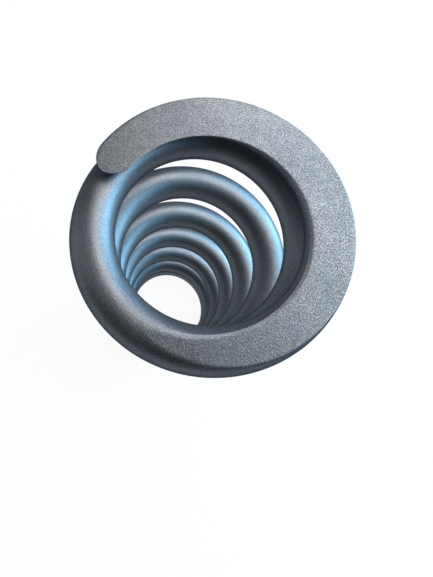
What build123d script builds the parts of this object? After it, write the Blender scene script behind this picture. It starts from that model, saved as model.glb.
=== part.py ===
"""Compression spring for a bicycle rear shock, wound from one round titanium wire.

The coil is right-handed and stands on its lower ground end, with its axis on +Z and the
origin at the middle of that end. Both ends are alike: the last turn is wound down until it
lies on its neighbour, the wire's tip is rounded, and the end is ground flat and square to
the axis, so the flat is narrow at the tip, as wide as the wire a quarter turn on, and fades
out in a point where the wire dips below the grinding plane. Sizes are in millimetres.
"""
import os
from math import cos, pi, sin

from build123d import *

# Whole spring
free_length = 143.0
outer_diameter = 51.0
wire_diameter = 8.4

# Turns of wire, not counting the rounded tips
total_turns = 7.44

# Each end: turns wound close, then turns over which the pitch opens to its full value
closed_turns = 0.75
opening_turns = 1.04
closed_gap = 0.06

# Ground ends: wire left at the start of the rounded tip, length of that tip before
# grinding, and the rounding that deburring leaves along the edge of the flat
tip_thickness = 2.2
tip_length = 5.0
edge_rounding = 0.4

# The centre line's guiding points, and the stretches that the wire's surface is made in
guide_points_per_turn = 16
stretches_per_turn = 4

wire_radius = wire_diameter / 2
mean_radius = outer_diameter / 2 - wire_radius
closed_pitch = wire_diameter + closed_gap

# The centre line starts and ends beyond the grinding planes by what is ground off there
ground_off = wire_radius - tip_thickness
centre_rise = free_length + 2 * ground_off
full_pitch_turns = total_turns - 2 * closed_turns - opening_turns
active_pitch = closed_pitch + (centre_rise - closed_pitch * total_turns) / full_pitch_turns


def turns_opened(turn):
    """Turns of full pitch that a stretch of wire from the tip is worth, beyond close winding."""
    share = min(max((turn - closed_turns) / opening_turns, 0), 1)
    after = max(turn - closed_turns - opening_turns, 0)
    return opening_turns * (share**3 - share**4 / 2) + after


def rise_from_tip(turn):
    """Height that the centre line gains from a tip to this turn."""
    return closed_pitch * turn + (active_pitch - closed_pitch) * turns_opened(turn)


def wire_centre(turn):
    """Point of the centre line, counting turns from the lower tip."""
    if turn < total_turns / 2:
        height = rise_from_tip(turn) - ground_off
    else:
        height = free_length + ground_off - rise_from_tip(total_turns - turn)
    angle = 2 * pi * turn
    return Vector(mean_radius * cos(angle), mean_radius * sin(angle), height)


# The centre line is one smooth curve, cut into stretches that give the wire a face each
spans = round(total_turns * guide_points_per_turn)
smooth_line = Spline(*[wire_centre(total_turns * i / spans) for i in range(spans + 1)])
stretches = round(total_turns * stretches_per_turn)
cuts = [i / stretches for i in range(stretches + 1)]
centre_line = Wire([smooth_line.edge().trim(a, b) for a, b in zip(cuts, cuts[1:])])

# The coil as wound, round wire along the centre line
with BuildPart() as wound_coil:
    with BuildSketch(centre_line ^ 0):
        Circle(wire_radius)
    sweep(path=centre_line, is_frenet=True)

# For each end: where the wire starts, the way out of the coil, and the side ground away
lower_end = (centre_line @ 0, (centre_line % 0) * -1, Vector(0, 0, -1))
upper_end = (centre_line @ 1, centre_line % 1, Vector(0, 0, 1))

with BuildPart() as coil_spring:
    add(wound_coil.part)

    # Rounded tips, a quarter ellipse turned about the wire's own axis
    for start, way_out, ground_side in (lower_end, upper_end):
        with BuildSketch(Plane(start, x_dir=way_out, z_dir=way_out.cross(ground_side))):
            with BuildLine():
                EllipticalCenterArc((0, 0), tip_length, wire_radius, 0, arc_size=90)
                Polyline((0, wire_radius), (0, 0), (tip_length, 0))
            make_face()
        revolve(axis=Axis(start, way_out))

    # Both ends ground flat
    split(bisect_by=Plane.XY, keep=Keep.TOP)
    split(bisect_by=Plane.XY.offset(free_length), keep=Keep.BOTTOM)

    # Edges of the two flats rounded
    flats = coil_spring.faces().filter_by(GeomType.PLANE)
    fillet(flats.edges(), edge_rounding)

coil_spring.part.label = "coil_spring"

os.makedirs("parts", exist_ok=True)
export_step(coil_spring.part, "parts/coil_spring.step")
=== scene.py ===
import math

import bpy
from mathutils import Euler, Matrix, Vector


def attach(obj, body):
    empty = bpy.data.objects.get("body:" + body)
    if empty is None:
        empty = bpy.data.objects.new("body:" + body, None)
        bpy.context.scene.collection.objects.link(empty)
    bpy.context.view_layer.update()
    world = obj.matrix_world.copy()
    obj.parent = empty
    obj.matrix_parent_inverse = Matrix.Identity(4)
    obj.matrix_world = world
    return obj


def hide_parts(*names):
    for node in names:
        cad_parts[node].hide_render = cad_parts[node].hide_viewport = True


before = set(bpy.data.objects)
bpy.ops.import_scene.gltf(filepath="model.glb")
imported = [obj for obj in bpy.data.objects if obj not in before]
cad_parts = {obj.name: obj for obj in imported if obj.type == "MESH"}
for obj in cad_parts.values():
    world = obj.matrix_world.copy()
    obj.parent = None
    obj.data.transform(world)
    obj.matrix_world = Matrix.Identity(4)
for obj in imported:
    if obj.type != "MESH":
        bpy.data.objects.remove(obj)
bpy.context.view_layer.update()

# The coil spring is one round titanium wire, wound cold on a mandrel, with the pitch closing up at
# both ends. Each end is then ground flat and square to the axis, its edges are broken by hand, and
# the whole spring is shot peened.
COIL_SIZES = {
    "free length": 0.143,
    "outer diameter": 0.051,
    "wire diameter": 0.0084,
    "turns": 7.44,
    "closed turns": 0.75,
    "opening turns": 1.04,
    "gap of closed turns": 0.00006,
    "tip thickness": 0.0022,
    "tip length": 0.005,
    "inner edge bevel": 0.0005,
    "edge rounding": 0.0002,
}

# The node tree takes these sizes and the metal's finish as its inputs
winding = bpy.data.node_groups.new("wind_and_grind", "GeometryNodeTree")
winding.interface.new_socket(name="Geometry", in_out="OUTPUT", socket_type="NodeSocketGeometry")
size_sockets = {}
for size_name in COIL_SIZES:
    socket = winding.interface.new_socket(name=size_name, in_out="INPUT", socket_type="NodeSocketFloat")
    size_sockets[size_name] = socket.identifier
finish_socket = winding.interface.new_socket(
    name="finish", in_out="INPUT", socket_type="NodeSocketMaterial").identifier
given = winding.nodes.new("NodeGroupInput")
wound = winding.nodes.new("NodeGroupOutput")


class Term:
    """A number that the node tree works out at each point, written as plain arithmetic."""

    def __init__(self, socket):
        self.socket = socket

    def __add__(self, other):
        return math_node("ADD", self, other)

    def __radd__(self, other):
        return math_node("ADD", other, self)

    def __sub__(self, other):
        return math_node("SUBTRACT", self, other)

    def __rsub__(self, other):
        return math_node("SUBTRACT", other, self)

    def __mul__(self, other):
        return math_node("MULTIPLY", self, other)

    def __rmul__(self, other):
        return math_node("MULTIPLY", other, self)

    def __truediv__(self, other):
        return math_node("DIVIDE", self, other)

    def __rtruediv__(self, other):
        return math_node("DIVIDE", other, self)


def math_node(operation, *values):
    """One Math node with these values, as a new term."""
    node = winding.nodes.new("ShaderNodeMath")
    node.operation = operation
    for socket, value in zip(node.inputs, values):
        if isinstance(value, Term):
            winding.links.new(value.socket, socket)
        else:
            socket.default_value = value
    return Term(node.outputs[0])


def lower(first, second):
    """The lower of two values."""
    return math_node("MINIMUM", first, second)


def higher(first, second):
    """The higher of two values."""
    return math_node("MAXIMUM", first, second)


def unsigned(value):
    """The value without its sign."""
    return math_node("ABSOLUTE", value)


def squared(value):
    """The value times itself."""
    return value * value


def root(value):
    """The square root, which is 0 for anything below 0."""
    return math_node("SQRT", higher(value, 0))


def sine(angle):
    """The sine of an angle in radians."""
    return math_node("SINE", angle)


def cosine(angle):
    """The cosine of an angle in radians."""
    return math_node("COSINE", angle)


def within(share):
    """The share, held between 0 and 1."""
    return higher(lower(share, 1), 0)


def blend(first, second, share):
    """The first value at a share of 0 and the second at a share of 1."""
    return first + (second - first) * share


def eased(share):
    """The share, held between 0 and 1, with a gentle start and end."""
    held = within(share)
    return held * held * (3 - 2 * held)


free_length = Term(given.outputs["free length"])
outer_diameter = Term(given.outputs["outer diameter"])
wire_diameter = Term(given.outputs["wire diameter"])
turns = Term(given.outputs["turns"])
closed_turns = Term(given.outputs["closed turns"])
opening_turns = Term(given.outputs["opening turns"])
closed_gap = Term(given.outputs["gap of closed turns"])
tip_thickness = Term(given.outputs["tip thickness"])
tip_length = Term(given.outputs["tip length"])
inner_bevel = Term(given.outputs["inner edge bevel"])
edge_rounding = Term(given.outputs["edge rounding"])

# The wire's centre line starts beyond the grinding plane by what is ground off at the tip
wire_radius = wire_diameter / 2
mean_radius = outer_diameter / 2 - wire_radius
turn_length = mean_radius * math.tau
closed_pitch = wire_diameter + closed_gap
ground_off = wire_radius - tip_thickness
centre_rise = free_length + 2 * ground_off
full_pitch_turns = turns - 2 * closed_turns - opening_turns
active_pitch = closed_pitch + (centre_rise - closed_pitch * turns) / full_pitch_turns

# A flat grid is rolled up into the wire: its rows run along the wire, its columns around it. The
# two halves of the coil are alike, and each is counted from its own tip.
ROWS_ALONG_WIRE = 1281
COLUMNS_AROUND_WIRE = 73
grid = winding.nodes.new("GeometryNodeMeshGrid")
grid.inputs["Size X"].default_value = 1
grid.inputs["Size Y"].default_value = 1
grid.inputs["Vertices X"].default_value = ROWS_ALONG_WIRE
grid.inputs["Vertices Y"].default_value = COLUMNS_AROUND_WIRE
spot = winding.nodes.new("ShaderNodeSeparateXYZ")
winding.links.new(winding.nodes.new("GeometryNodeInputPosition").outputs[0], spot.inputs[0])
row = Term(spot.outputs["X"])
column = Term(spot.outputs["Y"])
in_upper_half = math_node("GREATER_THAN", row, 0)
on_inner_side = math_node("LESS_THAN", column, 0)
side = 1 - 2 * on_inner_side
from_end = 0.5 - unsigned(row)
around = unsigned(column) * 2
around = blend(around, 1 - around, in_upper_half)

# The tip is half an ellipsoid on the end of the wire. Its rows lie before turn 0, and the last of
# them is where the ellipsoid leaves the grinding plane.
TIP_SHARE = 0.022
lead_slope = closed_pitch / turn_length
lead_length = root(1 + squared(lead_slope))
cut_height = ground_off * lead_length
tip_curve = squared(wire_radius) / squared(tip_length) + squared(lead_slope)
tip_slant = cut_height * lead_slope
cut_across_tip = root(squared(tip_slant) + tip_curve * (squared(wire_radius) - squared(cut_height)))
tip_reach = (cut_across_tip - tip_slant) / tip_curve
into_tip = tip_reach * sine(within((TIP_SHARE - from_end) / TIP_SHARE) * (math.pi / 2))
turns_along_wire = within((from_end - TIP_SHARE) / (0.5 - TIP_SHARE)) * turns / 2
turn = turns_along_wire - into_tip / (turn_length * lead_length)

# The pitch is close for the first turns, then opens along a smooth curve to its full value
opened = within((turn - closed_turns) / opening_turns)
opened_cubed = opened * opened * opened
full_turns = (opening_turns * (opened_cubed - opened_cubed * opened / 2)
              + higher(turn - closed_turns - opening_turns, 0))
height = closed_pitch * turn + (active_pitch - closed_pitch) * full_turns - ground_off
slope = (closed_pitch + (active_pitch - closed_pitch) * eased(opened)) / turn_length
cos_lead = 1 / root(1 + squared(slope))
sin_lead = slope * cos_lead

# The section is a circle cut by the grinding plane, drawn from a point in the middle of what is
# left. A third of the columns lie on the flat, and past the flat they spread over the whole circle.
FLAT_SHARE = 1 / 3
NARROWEST_FLAT = 0.6
SPREAD_FROM_TURN = 0.85
SPREAD_PER_TURN = 3
LEAST_COSINE = 0.001
section_radius = wire_radius * root(1 - squared(into_tip) / squared(tip_length))
plane_distance = height / cos_lead
cut = lower(higher(plane_distance, 0 - section_radius), section_radius)
half_flat = root(squared(section_radius) - squared(cut))
middle = (cut - section_radius) / 2
corner = higher(math_node("ARCTAN2", half_flat, cut - middle), NARROWEST_FLAT)
on_flat = math_node("LESS_THAN", around, FLAT_SHARE)
flat_angle = corner * sine(around * (math.pi / 2 / FLAT_SHARE))
wire_angle = math.pi - (math.pi - corner) * sine((1 - around) * (math.pi / 2 / (1 - FLAT_SHARE)))
cut_angle = blend(wire_angle, flat_angle, on_flat)
spread_out = eased((turn - SPREAD_FROM_TURN) * SPREAD_PER_TURN)
angle = side * blend(cut_angle, around * math.pi, spread_out)
sin_angle = sine(angle)
cos_angle = cosine(angle)
to_wire = root(squared(section_radius) - squared(middle * sin_angle)) - middle * cos_angle
to_plane = (plane_distance - middle) / higher(cos_angle, LEAST_COSINE)

# The edge of the flat is rounded, more so round the tip. A bevel along its inner side starts past
# the tip and narrows again towards the end of the flat.
TIP_ROUNDING = 3.0
TIP_ROUNDING_TURNS = 0.15
LEAST_ROUNDING = 0.0000001
BEVEL_FROM_TURN = 0.12
BEVEL_GROWING_TURNS = 0.26
BEVEL_FALLS_FROM_TURN = 0.46
BEVEL_FALLING_TURNS = 0.14
BEVEL_FALL = 0.6
room = lower(section_radius + cut, section_radius - cut) / 2
rounding = edge_rounding * blend(TIP_ROUNDING, 1, eased(turn / TIP_ROUNDING_TURNS))
rounding = lower(rounding, room) + LEAST_ROUNDING
overlap = within((rounding - unsigned(to_wire - to_plane)) / rounding)
reach = lower(to_wire, to_plane) - squared(overlap) * rounding / 4
bevel_grown = eased((turn - BEVEL_FROM_TURN) / BEVEL_GROWING_TURNS)
bevel_fallen = eased((turn - BEVEL_FALLS_FROM_TURN) / BEVEL_FALLING_TURNS)
bevel = lower(inner_bevel * bevel_grown * (1 - BEVEL_FALL * bevel_fallen), room)
to_bevel = (to_wire + to_plane - bevel) / 2
reach = blend(reach, lower(reach, to_bevel), on_inner_side)
outward = mean_radius + reach * sin_angle
downward = middle + reach * cos_angle

# Each point is set by its turn around the axis, and the upper half is the lower one turned over
bearing = turn * math.tau
sideways = 0 - downward * sin_lead
x = outward * cosine(bearing) + sideways * sine(bearing)
y = outward * sine(bearing) - sideways * cosine(bearing)
z = height - downward * cos_lead
end_to_end = turns * math.tau
place = winding.nodes.new("ShaderNodeCombineXYZ")
for axis, below, above in (("X", x, x * cosine(end_to_end) + y * sine(end_to_end)),
                           ("Y", y, x * sine(end_to_end) - y * cosine(end_to_end)),
                           ("Z", z, free_length - z)):
    winding.links.new(blend(below, above, in_upper_half).socket, place.inputs[axis])

# The grid's edges meet in a seam and at the tips, where they are welded
WELD_DISTANCE = 0.0000005
roll_up = winding.nodes.new("GeometryNodeSetPosition")
weld = winding.nodes.new("GeometryNodeMergeByDistance")
weld.inputs["Distance"].default_value = WELD_DISTANCE
realize = winding.nodes.new("GeometryNodeRealizeInstances")
coat = winding.nodes.new("GeometryNodeSetMaterial")
winding.links.new(grid.outputs["Mesh"], roll_up.inputs["Geometry"])
winding.links.new(place.outputs[0], roll_up.inputs["Position"])
winding.links.new(roll_up.outputs[0], weld.inputs["Geometry"])
winding.links.new(weld.outputs[0], realize.inputs[0])
winding.links.new(realize.outputs[0], coat.inputs["Geometry"])
winding.links.new(given.outputs["finish"], coat.inputs["Material"])
winding.links.new(coat.outputs[0], wound.inputs[0])

# The metal is a dark blue-grey, with a fine satin grain on the wire and a stronger one on the
# ground ends, and a few light specks of dust
PEENING_GRAIN = 0.00026
GRIT_GRAIN = 0.00024
MOTTLE_SIZE = 0.0015
CLOUD_SIZE = 0.007
DUST_SPACING = 0.0045
WIRE_DARK = (0.129, 0.144, 0.162, 1)
WIRE_LIGHT = (0.204, 0.228, 0.256, 1)
END_DARK = (0.092, 0.107, 0.124, 1)
END_LIGHT = (0.221, 0.252, 0.289, 1)
DUST_GREY = (0.45, 0.47, 0.50, 1)
GLANCING_TINT = (0.02, 0.05, 0.12, 1)
titanium = bpy.data.materials.new("peened_titanium")
titanium.use_nodes = True
finish = titanium.node_tree
surface = finish.nodes["Principled BSDF"]
place_on_metal = finish.nodes.new("ShaderNodeTexCoord").outputs["Object"]


def grain(kind, grain_size, **settings):
    """A pattern of the metal, noise or cells, with grains of this size in metres."""
    node = finish.nodes.new(kind)
    finish.links.new(place_on_metal, node.inputs["Vector"])
    node.inputs["Scale"].default_value = 1 / grain_size
    for name, value in settings.items():
        node.inputs[name].default_value = value
    return node.outputs[0]


def ramp(value, low, high, at_low=0.0, at_high=1.0):
    """A Map Range node that goes smoothly from one result at the low value to another at the high."""
    node = finish.nodes.new("ShaderNodeMapRange")
    node.interpolation_type = "SMOOTHSTEP"
    finish.links.new(value, node.inputs["Value"])
    node.inputs["From Min"].default_value = low
    node.inputs["From Max"].default_value = high
    node.inputs["To Min"].default_value = at_low
    node.inputs["To Max"].default_value = at_high
    return node.outputs["Result"]


def metal_math(operation, first, second):
    """A Math node between two values of the metal's nodes."""
    node = finish.nodes.new("ShaderNodeMath")
    node.operation = operation
    for socket, value in zip(node.inputs, (first, second)):
        if isinstance(value, (int, float)):
            socket.default_value = value
        else:
            finish.links.new(value, socket)
    return node.outputs[0]


def mixed(share, first, second):
    """A Mix node between two values or two colours."""
    node = finish.nodes.new("ShaderNodeMix")
    colours = [isinstance(value, tuple) or value.type == "RGBA" for value in (first, second)]
    node.data_type = "RGBA" if any(colours) else "FLOAT"
    inputs = [socket for socket in node.inputs if socket.enabled]
    outputs = [socket for socket in node.outputs if socket.enabled]
    for socket, value in zip(inputs, (share, first, second)):
        if isinstance(value, tuple):
            socket.default_value = value
        else:
            finish.links.new(value, socket)
    return outputs[0]


height_node = finish.nodes.new("ShaderNodeSeparateXYZ")
finish.links.new(place_on_metal, height_node.inputs[0])
height_on_coil = height_node.outputs["Z"]
below_top = metal_math("SUBTRACT", COIL_SIZES["free length"], height_on_coil)
from_plane = metal_math("MINIMUM", below_top, height_on_coil)
on_ground_end = ramp(from_plane, 0.00002, 0.00006, at_low=1.0, at_high=0.0)

peening = grain("ShaderNodeTexNoise", PEENING_GRAIN, Detail=3.0, Roughness=0.65)
grit = grain("ShaderNodeTexNoise", GRIT_GRAIN, Detail=3.0, Roughness=0.7)
mottle = metal_math("MULTIPLY", grain("ShaderNodeTexNoise", MOTTLE_SIZE, Detail=2.0, Roughness=0.6), 0.12)
cloud = grain("ShaderNodeTexNoise", CLOUD_SIZE, Detail=2.0, Roughness=0.5)
dust = ramp(grain("ShaderNodeTexVoronoi", DUST_SPACING), 0.020, 0.034, at_low=1.0, at_high=0.0)

wire_grey = mixed(ramp(peening, 0.38, 0.64), WIRE_DARK, WIRE_LIGHT)
end_grey = mixed(ramp(metal_math("ADD", grit, mottle), 0.46, 0.72), END_DARK, END_LIGHT)
metal_grey = mixed(on_ground_end, wire_grey, end_grey)
finish.links.new(mixed(dust, metal_grey, DUST_GREY), surface.inputs["Base Color"])
handling = ramp(cloud, 0.3, 0.7, at_low=-0.03, at_high=0.03)
wire_roughness = metal_math("ADD", ramp(peening, 0.3, 0.7, at_low=0.44, at_high=0.53), handling)
end_roughness = metal_math("ADD", ramp(grit, 0.3, 0.7, at_low=0.50, at_high=0.38), handling)
finish.links.new(mixed(on_ground_end, wire_roughness, end_roughness), surface.inputs["Roughness"])
surface.inputs["Metallic"].default_value = 1.0
surface.inputs["Specular Tint"].default_value = GLANCING_TINT
dents = finish.nodes.new("ShaderNodeBump")
dents.inputs["Strength"].default_value = 0.7
dents.inputs["Distance"].default_value = 0.00005
end_relief = metal_math("MULTIPLY", grit, 1.4)
finish.links.new(mixed(on_ground_end, peening, end_relief), dents.inputs["Height"])
finish.links.new(dents.outputs[0], surface.inputs["Normal"])

# The tree winds the coil on an empty blank, and its result is kept as a plain mesh
blank = bpy.data.objects.new("coil_blank", bpy.data.meshes.new("coil_blank"))
bpy.context.scene.collection.objects.link(blank)
wind = blank.modifiers.new("wind_and_grind", "NODES")
wind.node_group = winding
for size_name, size in COIL_SIZES.items():
    wind[size_sockets[size_name]] = size
wind[finish_socket] = titanium
coil_mesh = bpy.data.meshes.new_from_object(blank.evaluated_get(bpy.context.evaluated_depsgraph_get()))
bpy.data.objects.remove(blank)
coil_mesh.shade_smooth()
coil = bpy.data.objects.new("wound_coil", coil_mesh)
bpy.context.scene.collection.objects.link(coil)
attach(coil, "root")
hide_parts("coil_spring")

# The floor is a plain sheet of white paper, which the spring stands on. It shows white to the
# camera and in the metal, and keeps the spring's shadow.
FLOOR_HALF = 1.5
FLOOR_GLOW = 0.94
PAPER_WHITE = (0.88, 0.88, 0.88, 1)
floor_mesh = bpy.data.meshes.new("floor")
floor_corners = [(-FLOOR_HALF, -FLOOR_HALF, 0), (FLOOR_HALF, -FLOOR_HALF, 0),
                 (FLOOR_HALF, FLOOR_HALF, 0), (-FLOOR_HALF, FLOOR_HALF, 0)]
floor_mesh.from_pydata(floor_corners, [], [(0, 1, 2, 3)])
floor = bpy.data.objects.new("floor", floor_mesh)
bpy.context.scene.collection.objects.link(floor)
paper = bpy.data.materials.new("white_paper")
paper.use_nodes = True
paper_nodes = paper.node_tree
matt = paper_nodes.nodes["Principled BSDF"]
matt.inputs["Base Color"].default_value = PAPER_WHITE
matt.inputs["Roughness"].default_value = 0.9
matt.inputs["Specular IOR Level"].default_value = 0.1
ray = paper_nodes.nodes.new("ShaderNodeLightPath")
seen = ray.outputs["Is Camera Ray"]
for mirrored in ("Is Glossy Ray", "Is Transmission Ray"):
    either = paper_nodes.nodes.new("ShaderNodeMath")
    either.operation = "MAXIMUM"
    paper_nodes.links.new(seen, either.inputs[0])
    paper_nodes.links.new(ray.outputs[mirrored], either.inputs[1])
    seen = either.outputs[0]
glow_share = paper_nodes.nodes.new("ShaderNodeMath")
glow_share.operation = "MULTIPLY"
glow_share.inputs[1].default_value = FLOOR_GLOW
glow = paper_nodes.nodes.new("ShaderNodeEmission")
lit_paper = paper_nodes.nodes.new("ShaderNodeMixShader")
paper_nodes.links.new(seen, glow_share.inputs[0])
paper_nodes.links.new(glow_share.outputs[0], lit_paper.inputs[0])
paper_nodes.links.new(matt.outputs[0], lit_paper.inputs[1])
paper_nodes.links.new(glow.outputs[0], lit_paper.inputs[2])
paper_nodes.links.new(lit_paper.outputs[0], paper_nodes.nodes["Material Output"].inputs["Surface"])
floor_mesh.materials.append(paper)

# The light is soft daylight from one side: two white window lamps stand high and three sky-blue
# lamps stand lower. Three weak fills stand across from them, and all face the coil's upper end.
LAMP_DISTANCE = 0.6


def soft_lamp(name, bearing, rise, size, power, colour):
    """A square lamp at this bearing and rise in degrees, as the coil's upper end sees it."""
    lamp = bpy.data.lights.new(name, "AREA")
    lamp.size = size
    lamp.energy = power
    lamp.color = colour
    level = LAMP_DISTANCE * math.cos(math.radians(rise))
    way = Vector((level * math.cos(math.radians(bearing)), level * math.sin(math.radians(bearing)),
                  LAMP_DISTANCE * math.sin(math.radians(rise))))
    holder = bpy.data.objects.new(name, lamp)
    holder.location = way + Vector((0, 0, COIL_SIZES["free length"]))
    holder.rotation_euler = (-way).to_track_quat("-Z", "Y").to_euler()
    bpy.context.scene.collection.objects.link(holder)


soft_lamp("window_right", bearing=26, rise=50, size=0.30, power=1.80, colour=(1.0, 0.874, 0.748))
soft_lamp("window_top", bearing=80, rise=50, size=0.30, power=2.18, colour=(1.0, 0.897, 0.811))
soft_lamp("sky_low", bearing=35, rise=8, size=0.36, power=8.6, colour=(0.29, 0.64, 0.87))
soft_lamp("sky_top", bearing=60, rise=24, size=0.30, power=0.85, colour=(0.25, 0.56, 0.88))
soft_lamp("sky_right", bearing=0, rise=28, size=0.30, power=0.95, colour=(0.26, 0.58, 0.86))
soft_lamp("fill_high", bearing=165, rise=66, size=0.30, power=0.20, colour=(0.94, 0.98, 1.0))
soft_lamp("fill_side", bearing=182, rise=35, size=0.30, power=0.24, colour=(0.94, 0.98, 1.0))
soft_lamp("fill_low", bearing=188, rise=8, size=0.30, power=0.20, colour=(0.94, 0.98, 1.0))

# The room beyond the lamps is a plain grey and nearly dark, so that the flanks of the wire, which
# mirror it, stay deep
ROOM_STRENGTH = 0.06
studio = bpy.data.worlds.new("studio")
bpy.context.scene.world = studio
studio.use_nodes = True
room_light = studio.node_tree.nodes["Background"]
room_light.inputs["Color"].default_value = (1, 1, 1, 1)
room_light.inputs["Strength"].default_value = ROOM_STRENGTH

# The camera looks down the coil from 66 mm above its upper end, at the photograph's angle. Its
# turn is in degrees.
CAMERA_PLACE = (-0.00461, -0.02357, 0.2092)
CAMERA_TURN = (15.70, -1.31, 17.40)
camera = bpy.data.cameras.new("camera")
camera.lens = 25.02
camera.shift_x = 0.108
camera.shift_y = -0.088
camera.clip_start = 0.005
viewer = bpy.data.objects.new("camera", camera)
viewer.location = CAMERA_PLACE
viewer.rotation_euler = Euler([math.radians(angle) for angle in CAMERA_TURN])
bpy.context.scene.collection.objects.link(viewer)
bpy.context.scene.camera = viewer
bpy.context.scene.view_settings.view_transform = "Standard"
